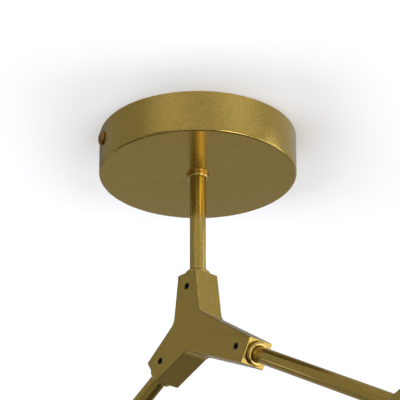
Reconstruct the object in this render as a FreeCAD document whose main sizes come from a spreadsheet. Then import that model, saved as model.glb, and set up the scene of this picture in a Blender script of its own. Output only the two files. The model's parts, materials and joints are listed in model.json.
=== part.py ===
import FreeCAD, Part
import math
import os
import re
import Sketcher

# A branching ceiling chandelier: a shallow round canopy, a short stem and a three-way hub, from which
# two link tubes reach out to a further hub each, and every further hub carries two globe lamps.
# Origin: the ceiling plane on the canopy's axis. +Z is up and +X runs along the mounting strap.

doc = FreeCAD.newDocument("BranchingChandelier")
sheet = doc.addObject("Spreadsheet::Sheet", "Sizes")

# Driving dimensions in millimetres and degrees.
size = {
    # canopy
    "canopyAcross": 125.0,        # outside diameter of the pan
    "canopyDrop": 27.2,           # depth of the pan below the ceiling
    "canopyWall": 1.2,            # sheet thickness of the pan
    "canopyEdge": 1.5,            # rounding of the pan's lower edge
    # mounting strap, a hat section
    "strapWide": 20.0,            # width of the strap
    "strapThick": 1.5,            # its sheet thickness
    "strapGap": 1.1,              # from a tab's outer face to the pan's wall
    "tabDrop": 16.0,              # how far the end tabs hang down
    "bridgeReach": 32.0,          # half length of the lowered bridge
    "bridgeSlope": 4.0,           # run of each slope from the foot to the bridge
    "bridgeDrop": 9.0,            # how far the bridge lies below the ceiling
    "slotSpacing": 89.0,          # centre to centre of the two ceiling slots
    "slotLong": 12.0,             # end to end length of a slot
    "slotWide": 5.0,              # width of a slot
    # side screws through the pan into the tabs
    "sideScrewDrop": 9.7,         # below the ceiling
    "sideScrewShank": 3.4,        # diameter of the thread
    "sideScrewLong": 9.0,         # length under the head
    "sideHeadAcross": 9.0,        # diameter of the pan head
    "sideHeadTall": 2.4,          # height of the pan head
    "crossSlotWide": 1.1,         # width of the cross recess
    "crossSlotLong": 5.0,         # span of the cross recess
    "crossSlotDeep": 1.3,         # depth of the cross recess
    "wallHoleAcross": 4.4,        # clearance hole in the pan
    # nipple, nut and washer
    "nippleAcross": 8.0,          # outside diameter of the threaded nipple
    "nippleBore": 5.2,            # its bore
    "nippleLong": 27.0,           # its length
    "washerAcross": 14.0,         # lock washer
    "washerThick": 1.5,
    "nutFlats": 13.0,             # lock nut, across the flats
    "nutTall": 4.0,
    # bush where the stem leaves the canopy
    "bushWall": 0.95,             # thickness round the stem, in the pan's hole
    "bushFlange": 1.0,            # how far the flange stands out beyond that
    "bushTall": 2.4,              # height of the flange
    "bushRise": 3.0,              # height of the part in the hole
    # terminal block and earth screw
    "blockLong": 14.0,            # along the strap
    "blockWide": 26.0,            # across the strap
    "blockTall": 11.0,
    "blockOffset": 17.0,          # from the axis to the block's near face
    "poleSpacing": 8.0,           # between the three poles
    "poleScrewAcross": 3.4,
    "poleScrewLong": 4.0,
    "poleScrewBore": 1.1,
    "poleScrewInset": 3.5,        # from the block's ends to the pole screws
    "poleHoleAcross": 3.0,        # wire holes
    "blockScrewAcross": 3.0,
    "blockScrewHead": 5.0,
    "earthScrewAcross": 4.0,
    "earthHeadAcross": 7.6,
    "earthHeadTall": 2.5,
    "earthOffset": 24.0,          # from the axis to the earth screw
    # leads
    "leadAcross": 2.6,            # diameter of every lead
    "leadOffset": 12.5,           # from the axis to the lead's hole in the bridge
    "grommetBore": 2.9,
    "grommetAcross": 5.6,         # in the hole
    "grommetFlange": 7.6,
    "grommetLip": 0.8,            # thickness of each flange
    # tubes and stem
    "tubeAcross": 10.0,           # outside diameter of every tube
    "tubeBore": 8.1,              # inside diameter of every tube
    "stemFree": 69.2,             # stem between the canopy and the centre hub
    "linkFree": 132.0,            # link tube between two hubs
    "lampFree": 80.0,             # lamp tube between its hub and its cup
    # hub casting
    "hubShort": 37.9,             # centre to end face, the two short arms
    "hubLong": 60.6,              # centre to end face, the long arm
    "hubThick": 18.3,             # thickness across the plane of the arms
    "hubEnd": 16.7,               # width of an arm at its end face
    "hubRoot": 24.8,              # width of an arm where two arms meet
    "hubCrotch": 8.0,             # fillet between two arms
    "hubEdge": 0.8,               # rounding of the front and back edges
    "portDeep": 14.0,             # depth of the socket for a tube
    "tubeStop": 1.0,              # left between a tube's end and the bottom of its socket
    "passage": 7.0,               # wire passage in the arms
    "screwInset": 9.7,            # from the end face to the grub screw
    "grubAcross": 4.0,            # hub grub screw
    "grubLong": 3.2,
    "grubKey": 2.0,               # hexagon socket across its flats
    "grubKeyDeep": 1.6,
    "ringAcross": 15.2,           # ring round the tube at each port
    "ringTall": 2.5,              # how far the ring stands out of the port
    "ringSeat": 0.8,              # depth of its seat in the end face
    "ringSeatGap": 0.3,           # groove left round it
    "ringBevel": 0.8,
    # lamp cup
    "bossAcross": 16.0,           # boss that holds the lamp tube
    "bossTall": 10.0,
    "bossShelf": 1.0,             # left of the boss above the tube's socket
    "cupWall": 1.7,
    "cupFloor": 2.0,
    "cupDeep": 22.0,              # inside depth of the cup
    "cupBevel": 3.0,              # slope between the floor and the wall
    "cupGrubAcross": 3.0,         # grub screw in the boss
    "cupGrubLong": 2.6,
    "cupGrubKey": 1.5,
    # lampholder
    "holderAcross": 24.0,
    "holderTall": 18.0,
    "pinSpacing": 9.0,
    "pinHoleDeep": 9.0,
    "holderScrewAcross": 3.0,
    "holderScrewSpread": 16.0,    # between the two fixing screws
    "holderScrewHead": 5.0,
    "holderHeadTall": 2.0,
    # bulb
    "pinAcross": 1.8,
    "pinLong": 8.0,
    "bulbBase": 16.0,
    "bulbBaseTall": 12.0,
    "bulbAcross": 15.0,
    "bulbTall": 34.0,             # of the capsule above its base
    # globe and gasket
    "globeAcross": 120.0,
    "glassThick": 2.5,
    "neckAcross": 34.5,
    "neckShow": 2.0,              # neck visible between the cup and the globe
    "gasketThick": 1.5,
    "gasketInner": 25.0,
    # attitudes
    "lampTurn": -65.1,            # plane of the centre hub about the stem
    "rightTwist": 40.0,           # plane of the right hub about its link tube
    "leftTwist": 50.0,            # plane of the left hub about its link tube
    # clearances
    "runGap": 0.05,               # radial, where a round piece turns or slides in another
    "softGap": 0.3,               # beside soft pieces and between stacked pieces that turn
    "leadMeet": 1.0,              # from a hub's centre to each lead's crimped end
}

for line, (alias, value) in enumerate(size.items(), start=1):
    sheet.set("A%d" % line, alias)
    sheet.set("B%d" % line, str(value))
    sheet.setAlias("B%d" % line, alias)
doc.recompute()

portAngles = {"up": 90.0, "right": -30.0, "left": 210.0}
portReach = {"up": "hubShort", "right": "hubLong", "left": "hubShort"}
roughRadius = 20.0  # of the ring of points that an outline starts from, before its constraints move them
nodes = []


# helpers

def bound(text):
    """The same expression with every size's alias read from the sheet."""
    return re.sub(r"[A-Za-z]\w*", lambda word: "Sizes." + word.group() if word.group() in size
                  else word.group(), text)


def move(x, y, z):
    """Placement that shifts by x, y and z."""
    return FreeCAD.Placement(FreeCAD.Vector(x, y, z), FreeCAD.Rotation())


def turn(x, y, z, degrees):
    """Placement that turns about an axis through the origin."""
    return FreeCAD.Placement(FreeCAD.Vector(), FreeCAD.Rotation(FreeCAD.Vector(x, y, z), degrees))


def keep(label, piece):
    """Names a finished sub-part and lists it for export."""
    piece.Label = label
    nodes.append(piece)
    return piece


def outline(sketch, points):
    """Closed polyline through points given as pairs of expressions, fixed from the sketch's origin."""
    count = len(points)
    start = []
    for k in range(count):
        angle = -2 * math.pi * k / count
        start.append(FreeCAD.Vector(roughRadius * math.cos(angle), roughRadius * math.sin(angle), 0))
    for k in range(count):
        sketch.addGeometry(Part.LineSegment(start[k], start[(k + 1) % count]))
    for k in range(count):
        sketch.addConstraint(Sketcher.Constraint("Coincident", k, 2, (k + 1) % count, 1))
    for k, (across, up) in enumerate(points):
        for kind, axis, text, now in (("DistanceX", -2, across, start[k].x),
                                      ("DistanceY", -1, up, start[k].y)):
            if text == "0":
                sketch.addConstraint(Sketcher.Constraint("PointOnObject", k, 1, axis))
            else:
                index = sketch.addConstraint(Sketcher.Constraint(kind, -1, 1, k, 1, now))
                sketch.setExpression("Constraints[%d]" % index, bound(text))


def sketchOn(body, role, points):
    """Sketch of a closed polyline on one of the body's own origin planes."""
    sketch = body.newObject("Sketcher::SketchObject", body.Name + "Outline")
    plane = [feature for feature in body.Origin.OriginFeatures if feature.Role == role][0]
    sketch.AttachmentSupport = [(plane, "")]
    sketch.MapMode = "FlatFace"
    outline(sketch, points)
    return sketch


def turned(name, points, frame):
    """Body turned about its own Z from a closed profile of radius and height pairs."""
    body = doc.addObject("PartDesign::Body", name)
    sketch = sketchOn(body, "XZ_Plane", points)
    spin = body.newObject("PartDesign::Revolution", name + "Spin")
    spin.Profile = sketch
    spin.ReferenceAxis = (sketch, ["V_Axis"])
    spin.Angle = 360
    body.Placement = frame
    return body


def extruded(name, points, width):
    """Body padded evenly to both sides of its own XZ plane."""
    body = doc.addObject("PartDesign::Body", name)
    sketch = sketchOn(body, "XZ_Plane", points)
    pad = body.newObject("PartDesign::Pad", name + "Pad")
    pad.Profile = sketch
    pad.SideType = "Symmetric"
    pad.setExpression("Length", bound(width))
    return body


def rounded(body, wanted, radius):
    """Fillet on the edges of the body's last feature that the test picks."""
    doc.recompute()
    last = body.Tip
    picked = ["Edge%d" % (k + 1) for k, edge in enumerate(last.Shape.Edges) if wanted(edge)]
    fillet = body.newObject("PartDesign::Fillet", body.Name + "Fillet")
    fillet.Base = (last, picked)
    fillet.setExpression("Radius", bound(radius))
    return body


def rod(name, across, length, frame):
    """Cylinder along the frame's Z from its origin."""
    piece = doc.addObject("Part::Cylinder", name)
    piece.setExpression("Radius", bound("(%s) / 2" % across))
    piece.setExpression("Height", bound(length))
    piece.Placement = frame
    return piece


def block(name, long, wide, tall, frame):
    """Box centred on the frame's X and Y, from its origin up."""
    piece = doc.addObject("Part::Box", name)
    for side, text in (("Length", long), ("Width", wide), ("Height", tall)):
        piece.setExpression(side, bound(text))
    doc.recompute()
    piece.Placement = frame.multiply(move(-piece.Length.Value / 2, -piece.Width.Value / 2, 0))
    return piece


def hexagon(name, flats, tall, frame):
    """Six-sided prism along the frame's Z from its origin."""
    piece = doc.addObject("Part::Prism", name)
    piece.Polygon = 6
    piece.setExpression("Circumradius", bound("(%s) / 2 / cos(30)" % flats))
    piece.setExpression("Height", bound(tall))
    piece.Placement = frame
    return piece


def joined(name, pieces):
    """One solid from several overlapping pieces."""
    fuse = doc.addObject("Part::MultiFuse", name)
    fuse.Shapes = pieces
    return fuse


def cut(name, base, tools):
    """The base with every tool cut out of it."""
    result = doc.addObject("Part::Cut", name)
    result.Base = base
    result.Tool = tools[0] if len(tools) == 1 else joined(name + "Tools", tools)
    return result


def group(name, pieces):
    """Separate solids that share one node."""
    bundle = doc.addObject("Part::Compound", name)
    bundle.Links = pieces
    return bundle


def tube(name, outer, inner, length, frame):
    """Round tube along the frame's Z from its origin."""
    return cut(name, rod(name + "Outside", outer, length, frame), [rod(name + "Inside", inner, length, frame)])


def grub(name, across, length, key, frame):
    """Headless screw along the frame's Z, with its hexagon socket in the far end."""
    socket = frame.multiply(move(0, 0, size[length] - size["grubKeyDeep"]))
    return cut(name, rod(name + "Thread", across, length, frame),
               [hexagon(name + "Socket", key, "grubKeyDeep", socket)])


def portFrame(hub, port, inset=0.0):
    """Frame on a port's axis, at its end face or that far inside it, with Z pointing outwards."""
    outward = turn(0, 1, 0, 90.0 - portAngles[port])
    return hub.multiply(outward).multiply(move(0, 0, size[portReach[port]] - inset))


# places

innerRadius = size["canopyAcross"] / 2 - size["canopyWall"]
tabReach = innerRadius - size["strapGap"]
bridgeLow = -size["bridgeDrop"] - size["strapThick"]
canopyLow = -size["canopyDrop"]
tubeIn = size["portDeep"] - size["tubeStop"]
hubDrop = size["canopyDrop"] + size["stemFree"] + size["hubShort"]
centreHub = move(0, 0, -hubDrop).multiply(turn(0, 0, 1, size["lampTurn"]))


def nextHub(port, twist):
    """Frame of the hub at the far end of a link tube, with its up port on that tube."""
    far = portFrame(centreHub, port, -size["linkFree"] - size["hubShort"])
    return far.multiply(turn(1, 0, 0, 180)).multiply(turn(0, 0, 1, twist))


# canopy and its fittings

def makeStrap():
    """Hat-section strap with end tabs, ceiling slots and holes for nipple, lead and screws."""
    half = "(canopyAcross / 2 - canopyWall - strapGap)"
    step = "(bridgeReach + bridgeSlope)"
    upper = [("-" + half, "0"), ("-" + step, "0"), ("-bridgeReach", "-bridgeDrop"),
             ("bridgeReach", "-bridgeDrop"), (step, "0"), (half, "0")]
    lower = [(half, "-tabDrop"), (half + " - strapThick", "-tabDrop"), (half + " - strapThick", "-strapThick"),
             (step + " + strapThick", "-strapThick"),
             ("bridgeReach + strapThick", "-bridgeDrop - strapThick"),
             ("-strapThick - bridgeReach", "-bridgeDrop - strapThick"),
             ("-strapThick - " + step, "-strapThick"), ("strapThick - " + half, "-strapThick"),
             ("strapThick - " + half, "-tabDrop"), ("-" + half, "-tabDrop")]
    plate = extruded("StrapPlate", upper + lower, "strapWide")
    tools = [rod("StrapNippleHole", "nippleAcross + 2 * runGap", "strapThick", move(0, 0, bridgeLow)),
             rod("StrapLeadHole", "grommetAcross + 2 * runGap", "strapThick",
                 move(size["leadOffset"], 0, bridgeLow)),
             rod("StrapEarthHole", "earthScrewAcross + 2 * runGap", "strapThick",
                 move(-size["earthOffset"], 0, bridgeLow)),
             rod("StrapBlockHole", "blockScrewAcross + 2 * runGap", "strapThick",
                 move(size["blockOffset"] + size["blockLong"] / 2, size["poleSpacing"] / 2, bridgeLow))]
    for side in (-1, 1):
        tab = move(side * tabReach, 0, -size["sideScrewDrop"]).multiply(turn(0, 1, 0, -90 * side))
        tools.append(rod("StrapTabHole", "sideScrewShank + 2 * runGap", "strapThick", tab))
        centre = side * size["slotSpacing"] / 2
        tools.append(block("StrapSlot", "slotLong - slotWide", "slotWide", "strapThick",
                           move(centre, 0, -size["strapThick"])))
        for end in (-1, 1):
            reach = end * (size["slotLong"] - size["slotWide"]) / 2
            tools.append(rod("StrapSlotEnd", "slotWide", "strapThick",
                             move(centre + reach, 0, -size["strapThick"])))
    keep("mounting_strap", cut("MountingStrap", plate, tools))


def makeCanopy():
    """Round pan, open at the ceiling, with a stem hole in its floor and two screw holes in its wall."""
    rim, hole = "canopyAcross / 2", "tubeAcross / 2 + bushWall + 2 * runGap"
    pan = turned("CanopyPan", [(rim, "0"), (rim, "-canopyDrop"), (hole, "-canopyDrop"),
                               (hole, "canopyWall - canopyDrop"),
                               (rim + " - canopyWall", "canopyWall - canopyDrop"),
                               (rim + " - canopyWall", "0")], FreeCAD.Placement())
    rounded(pan, lambda edge: abs(edge.BoundBox.ZMax - canopyLow) < 0.01
            and edge.BoundBox.XLength > 2 * innerRadius, "canopyEdge")
    holes = rod("CanopyWallHoles", "wallHoleAcross", "2 * canopyAcross",
                move(-size["canopyAcross"], 0, -size["sideScrewDrop"]).multiply(turn(0, 1, 0, 90)))
    keep("canopy_pan", cut("CanopyPanHoled", pan, [holes]))


def makeSideScrews():
    """Two cross-recess pan-head screws, from outside through the pan's wall into the strap's tabs."""
    screws = []
    for side in (0, 180):
        frame = turn(0, 0, 1, side).multiply(move(size["canopyAcross"] / 2 - size["sideScrewLong"], 0,
                                                 -size["sideScrewDrop"])).multiply(turn(0, 1, 0, 90))
        head = frame.multiply(move(0, 0, size["sideScrewLong"]))
        recess = head.multiply(move(0, 0, size["sideHeadTall"] - size["crossSlotDeep"]))
        screw = joined("SideScrewBlank", [
            rod("SideScrewShank", "sideScrewShank", "sideScrewLong", frame),
            rod("SideScrewHead", "sideHeadAcross", "sideHeadTall", head)])
        slots = [block("SideScrewSlot", "crossSlotLong", "crossSlotWide", "crossSlotDeep",
                       recess.multiply(turn(0, 0, 1, 45 + quarter))) for quarter in (0, 90)]
        screws.append(cut("SideScrew", screw, slots))
    keep("canopy_side_screws", group("CanopySideScrews", screws))


def makeNipple():
    """Threaded nipple in the strap, with its lock washer and lock nut."""
    top = -size["bridgeDrop"]
    keep("threaded_nipple", tube("Nipple", "nippleAcross", "nippleBore", "nippleLong",
                                 move(0, 0, top - size["nippleLong"])))
    washerLow = bridgeLow - size["washerThick"]
    keep("nipple_washer", tube("NippleWasher", "washerAcross", "nippleAcross + 2 * runGap", "washerThick",
                               move(0, 0, washerLow)))
    nutFrame = move(0, 0, washerLow - size["nutTall"])
    keep("nipple_nut", cut("NippleNut", hexagon("NutBlank", "nutFlats", "nutTall", nutFrame),
                           [rod("NutBore", "nippleAcross + 2 * runGap", "nutTall", nutFrame)]))


def makeBush():
    """Bush that centres the stem in the pan's floor, with a flange below it."""
    bore = "tubeAcross / 2 + runGap"
    spigot = bore + " + bushWall"
    flange = spigot + " + bushFlange"
    keep("canopy_bush", turned("CanopyBush", [
        (bore, "bushRise"), (spigot, "bushRise"), (spigot, "0"), (flange, "0"),
        (flange, "ringBevel - bushTall"),
        (flange + " - ringBevel", "-bushTall"), (bore, "-bushTall")], move(0, 0, canopyLow)))


def makeTerminals():
    """Three-pole terminal block under the strap, its pole screws, fixing screw and the earth screw."""
    middle = size["blockOffset"] + size["blockLong"] / 2
    low = bridgeLow - size["blockTall"]
    tools = []
    screws = []
    poleTop = low + size["poleScrewLong"]
    for pole in (-1, 0, 1):
        y = pole * size["poleSpacing"]
        wire = move(size["blockOffset"], y, low + size["blockTall"] / 2).multiply(turn(0, 1, 0, 90))
        if pole:  # the middle hole is filled by the lead
            tools.append(rod("PoleWireHole", "poleHoleAcross", "blockLong", wire))
        for end in (-1, 1):
            x = middle + end * (size["blockLong"] / 2 - size["poleScrewInset"])
            tools.append(rod("PoleScrewHole", "poleScrewAcross + 2 * runGap", "poleScrewLong",
                             move(x, y, low)))
            screws.append(tube("PoleScrew", "poleScrewAcross", "poleScrewBore", "poleScrewLong",
                               move(x, y, low)))
    fixing = move(middle, size["poleSpacing"] / 2, low)
    tools.append(rod("BlockScrewHole", "blockScrewAcross + 2 * runGap", "blockTall", fixing))
    box = block("TerminalBox", "blockLong", "blockWide", "blockTall", move(middle, 0, low))
    keep("terminal_block", cut("TerminalBlock", box, tools))
    keep("terminal_screws", group("TerminalScrews", screws))
    headFrame = move(middle, size["poleSpacing"] / 2, low - size["holderHeadTall"])
    keep("block_screw", joined("BlockScrew", [
        rod("BlockScrewHead", "blockScrewHead", "holderHeadTall", headFrame),
        rod("BlockScrewShank", "blockScrewAcross", "blockTall + strapThick + holderHeadTall", headFrame)]))
    earthFrame = move(-size["earthOffset"], 0, bridgeLow - size["earthHeadTall"])
    keep("earth_screw", joined("EarthScrew", [
        rod("EarthScrewHead", "earthHeadAcross", "earthHeadTall", earthFrame),
        rod("EarthScrewShank", "earthScrewAcross", "earthHeadTall + 2 * strapThick", earthFrame)]))


def makeSupplyLead():
    """Lead from the terminal block up through the bridge, over into the nipple and down to the centre hub."""
    offset = size["leadOffset"]
    exitBend = size["blockOffset"] - offset
    start = FreeCAD.Vector(size["blockOffset"], 0, bridgeLow - size["blockTall"] / 2)
    rise = start + FreeCAD.Vector(-exitBend, 0, exitBend)
    bendMiddle = start + FreeCAD.Vector(-exitBend * math.sin(math.radians(45)), 0,
                                        exitBend * (1 - math.cos(math.radians(45))))
    top = -size["bridgeDrop"]
    over = FreeCAD.Vector(offset, 0, top)
    down = FreeCAD.Vector(0, 0, top)
    end = FreeCAD.Vector(0, 0, size["leadMeet"] - hubDrop)
    path = Part.Wire([Part.Arc(start, bendMiddle, rise).toShape(), Part.LineSegment(rise, over).toShape(),
                      Part.Arc(over, FreeCAD.Vector(offset / 2, 0, top + offset / 2), down).toShape(),
                      Part.LineSegment(down, end).toShape()])
    section = Part.Wire([Part.makeCircle(size["leadAcross"] / 2, start, FreeCAD.Vector(-1, 0, 0))])
    lead = doc.addObject("Part::Feature", "SupplyLead")
    lead.Shape = path.makePipeShell([section], True, False)
    lead.Placement = FreeCAD.Placement()
    keep("supply_lead", lead)
    hole, flange, bore = "grommetAcross / 2", "grommetFlange / 2", "grommetBore / 2"
    keep("lead_grommet", turned("LeadGrommet", [
        (bore, "-grommetLip"), (flange, "-grommetLip"), (flange, "0"), (hole, "0"), (hole, "strapThick"),
        (flange, "strapThick"), (flange, "strapThick + grommetLip"), (bore, "strapThick + grommetLip")],
        move(offset, 0, bridgeLow)))


# stem, hubs and links

def makeStem():
    """Stem tube, screwed on the nipple and held in the centre hub's up port."""
    top = bridgeLow - size["washerThick"] - size["nutTall"] - size["softGap"]
    low = -hubDrop + size["hubShort"] - tubeIn
    stem = doc.addObject("Part::Cylinder", "StemOutside")
    stem.setExpression("Radius", bound("tubeAcross / 2"))
    stem.Height = top - low
    stem.Placement = move(0, 0, low)
    keep("stem_tube", cut("StemTube", stem, [
        rod("StemInside", "tubeBore", "StemOutside.Height", move(0, 0, low))]))


def makeHub(label, name, hub):
    """Cast three-way hub with sockets, wire passages and grub screws, and the ring at each port."""
    wide, root = "hubEnd / 2", "hubRoot / 2 / cos(30)"
    points = []
    for port in ("up", "right", "left"):
        angle = "(%s)" % portAngles[port]
        reach = portReach[port]
        for side in ("+", "-"):
            other = "-" if side == "+" else "+"
            points.append(("%s * cos%s %s %s * sin%s" % (reach, angle, other, wide, angle),
                           "%s * sin%s %s %s * cos%s" % (reach, angle, side, wide, angle)))
        crotch = "(%s)" % (portAngles[port] - 60.0)
        points.append(("%s * cos%s" % (root, crotch), "%s * sin%s" % (root, crotch)))
    blank = extruded(name + "Blank", points, "hubThick")
    half = size["hubThick"] / 2
    rounded(blank, lambda edge: abs(edge.BoundBox.YLength - size["hubThick"]) < 0.01
            and math.hypot(edge.BoundBox.Center.x, edge.BoundBox.Center.z) < size["hubRoot"], "hubCrotch")
    rounded(blank, lambda edge: edge.BoundBox.YLength < 0.01 and abs(abs(edge.BoundBox.YMin) - half) < 0.01,
            "hubEdge")
    tools = []
    screws = []
    rings = []
    still = FreeCAD.Placement()
    for port in portAngles:
        tools.append(rod(name + "Passage", "passage", portReach[port],
                         portFrame(still, port, size[portReach[port]])))
        tools.append(rod(name + "Socket", "tubeAcross + 2 * runGap", "portDeep",
                         portFrame(still, port, size["portDeep"])))
        tools.append(rod(name + "RingSeat", "ringAcross + 2 * ringSeatGap", "ringSeat",
                         portFrame(still, port, size["ringSeat"])))
        sideways = portFrame(still, port, size["screwInset"]).multiply(turn(1, 0, 0, 90))
        tools.append(rod(name + "ScrewHole", "grubAcross + 2 * runGap", "hubThick / 2", sideways))
        touching = move(0, 0, size["tubeAcross"] / 2 + size["runGap"])
        screws.append(grub(name + "Grub", "grubAcross", "grubLong", "grubKey",
                           hub.multiply(sideways).multiply(touching)))
        bore, edge = "tubeAcross / 2 + runGap", "ringAcross / 2"
        rings.append(turned(name + "Ring", [
            (bore, "0"), (edge, "0"), (edge, "ringSeat + ringTall - ringBevel"),
            (edge + " - ringBevel", "ringSeat + ringTall"), (bore, "ringSeat + ringTall")],
            portFrame(hub, port, size["ringSeat"])))
    casting = cut(name + "Casting", blank, tools)
    casting.Placement = hub
    keep(label, casting)
    keep(label + "_grub_screws", group(name + "GrubScrews", screws))
    keep(label + "_port_rings", group(name + "PortRings", rings))


def makeLink(side, name):
    """Link tube from the centre hub to a further hub, with the lead inside it."""
    start = portFrame(centreHub, side, tubeIn)
    keep(side + "_link_tube", tube(name + "Link", "tubeAcross", "tubeBore",
                                   "linkFree + 2 * portDeep - 2 * tubeStop", start))
    inner = portFrame(centreHub, side, size[portReach[side]] - size["leadMeet"])
    keep(side + "_link_lead", rod(name + "LinkLead", "leadAcross",
                                  "%s + linkFree + hubShort - 2 * leadMeet" % portReach[side], inner))


# lamps

def makeCup(number, frame):
    """Turned cup with a boss for the lamp tube, a shelf for the lampholder and a bore for the globe's neck."""
    floor = "(bossTall + cupFloor)"
    bore = "(neckAcross / 2 + runGap)"
    outside = "(neckAcross / 2 + runGap + cupWall)"
    shell = turned("Cup%d" % number, [
        ("tubeAcross / 2 + runGap", "0"), ("bossAcross / 2", "0"), ("bossAcross / 2", "bossTall"),
        (outside + " - cupBevel", "bossTall"), (outside, "bossTall + cupBevel"),
        (outside, floor + " + cupDeep"), (bore, floor + " + cupDeep"), (bore, floor), ("passage / 2", floor),
        ("passage / 2", "bossTall - bossShelf"), ("tubeAcross / 2 + runGap", "bossTall - bossShelf")],
        FreeCAD.Placement())
    sideways = move(0, 0, size["bossTall"] / 2).multiply(turn(1, 0, 0, 90))
    holes = [rod("CupGrubHole", "cupGrubAcross + 2 * runGap", "bossAcross", sideways)]
    for x in (-1, 1):
        holes.append(rod("CupScrewHole", "holderScrewAcross + 2 * runGap", "bossTall + cupFloor",
                         move(x * size["holderScrewSpread"] / 2, 0, size["bossTall"] - size["bossShelf"])))
    cup = cut("CupHoled%d" % number, shell, holes)
    cup.Placement = frame
    keep("lamp_cup_%d" % number, cup)
    touching = move(0, 0, size["tubeAcross"] / 2 + size["runGap"])
    return grub("CupGrub%d" % number, "cupGrubAcross", "cupGrubLong", "cupGrubKey",
                frame.multiply(sideways).multiply(touching))


def makeHolder(number, seat):
    """Ceramic lampholder with two pin holes, on the cup's floor, and its two fixing screws."""
    body = rod("HolderBlank", "holderAcross", "holderTall", FreeCAD.Placement())
    tools = []
    screws = []
    for x in (-1, 1):
        tools.append(rod("HolderPinHole", "pinAcross + 2 * runGap", "pinHoleDeep",
                         move(0, x * size["pinSpacing"] / 2, size["holderTall"] - size["pinHoleDeep"])))
        across = x * size["holderScrewSpread"] / 2
        tools.append(rod("HolderScrewHole", "holderScrewAcross + 2 * runGap", "holderTall",
                         move(across, 0, 0)))
        tools.append(rod("HolderScrewSink", "holderScrewHead + 2 * softGap", "holderHeadTall",
                         move(across, 0, size["holderTall"] - size["holderHeadTall"])))
        shank = seat.multiply(move(across, 0, -size["cupFloor"]))
        head = seat.multiply(move(across, 0, size["holderTall"] - size["holderHeadTall"]))
        screws.append(joined("HolderScrew", [
            rod("HolderScrewShank", "holderScrewAcross", "cupFloor + holderTall - holderHeadTall", shank),
            rod("HolderScrewTop", "holderScrewHead", "holderHeadTall", head)]))
    holder = cut("Holder%d" % number, body, tools)
    holder.Placement = seat
    keep("lampholder_%d" % number, holder)
    return screws


def makeBulb(number, face):
    """Two-pin capsule bulb: pins, base and a capsule with a round end."""
    pins = [rod("BulbPin", "pinAcross", "pinLong", face.multiply(move(0, y * size["pinSpacing"] / 2,
                                                                    -size["pinLong"]))) for y in (-1, 1)]
    capsule = face.multiply(move(0, 0, size["bulbBaseTall"]))
    dome = doc.addObject("Part::Sphere", "BulbDome")
    dome.setExpression("Radius", bound("bulbAcross / 2"))
    dome.Placement = capsule.multiply(move(0, 0, size["bulbTall"] - size["bulbAcross"] / 2))
    keep("bulb_%d" % number, joined("Bulb%d" % number, pins + [
        rod("BulbBase", "bulbBase", "bulbBaseTall", face),
        rod("BulbCapsule", "bulbAcross", "bulbTall - bulbAcross / 2", capsule), dome]))


def makeGlobe(number, rim):
    """Glass globe with a straight neck, and the ring gasket under the neck's rim."""
    gasket = move(0, 0, -size["gasketThick"] - size["softGap"])
    keep("globe_gasket_%d" % number, tube("Gasket%d" % number, "neckAcross - 2 * runGap", "gasketInner",
                                          "gasketThick", rim.multiply(gasket)))
    neckLong = size["cupDeep"] - size["gasketThick"] - size["softGap"] + size["neckShow"]
    radius = size["globeAcross"] / 2
    rise = neckLong + math.sqrt(radius ** 2 - (size["neckAcross"] / 2) ** 2)
    balls = []
    for part, wall in (("Outside", "0"), ("Inside", "glassThick")):
        ball = doc.addObject("Part::Sphere", "Globe%d%s" % (number, part))
        ball.setExpression("Radius", bound("globeAcross / 2 - " + wall))
        ball.Placement = rim.multiply(move(0, 0, rise))
        neck = rod("Neck%d%s" % (number, part), "neckAcross - 2 * " + wall, "globeAcross / 2", rim)
        balls.append(joined("Globe%d%sJoined" % (number, part), [ball, neck]))
    keep("globe_%d" % number, cut("Globe%d" % number, balls[0], [balls[1]]))


def makeLamp(number, hub, port):
    """Lamp on a further hub's port: tube, cup, lampholder, bulb, globe and lead."""
    tubeFrame = portFrame(hub, port, tubeIn)
    keep("lamp_tube_%d" % number, tube("LampTube%d" % number, "tubeAcross", "tubeBore",
                                       "lampFree + portDeep + bossTall - bossShelf - 2 * tubeStop",
                                       tubeFrame))
    leadFrame = portFrame(hub, port, size[portReach[port]] - size["leadMeet"])
    keep("lamp_lead_%d" % number, rod("LampLead%d" % number, "leadAcross",
                                      "%s + lampFree + bossTall + cupFloor - leadMeet" % portReach[port],
                                      leadFrame))
    cupFrame = portFrame(hub, port, -size["lampFree"])
    seat = cupFrame.multiply(move(0, 0, size["bossTall"] + size["cupFloor"]))
    grubScrew = makeCup(number, cupFrame)
    holderScrews = makeHolder(number, seat)
    makeBulb(number, seat.multiply(move(0, 0, size["holderTall"] + size["runGap"])))
    makeGlobe(number, seat.multiply(move(0, 0, size["gasketThick"] + size["softGap"])))
    return grubScrew, holderScrews


def makeBranch(side, name, twist, numbers):
    """Everything beyond one of the centre hub's side ports."""
    hub = nextHub(side, twist)
    makeLink(side, name)
    makeHub(side + "_hub", name + "Hub", hub)
    grubScrews = []
    holderScrews = []
    for number, port in zip(numbers, ("right", "left")):
        one, pair = makeLamp(number, hub, port)
        grubScrews.append(one)
        holderScrews.extend(pair)
    keep(side + "_cup_grub_screws", group(name + "CupGrubScrews", grubScrews))
    keep(side + "_holder_screws", group(name + "HolderScrews", holderScrews))


# assembly and export

makeStrap()
makeCanopy()
makeSideScrews()
makeNipple()
makeBush()
makeTerminals()
makeSupplyLead()
makeStem()
makeHub("centre_hub", "CentreHub", centreHub)
makeBranch("right", "Right", size["rightTwist"], (1, 2))
makeBranch("left", "Left", size["leftTwist"], (3, 4))
doc.recompute()

for feature in doc.Objects:
    if "Invalid" in feature.State or "Error" in feature.State:
        raise RuntimeError("%s did not compute" % feature.Label)

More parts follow.
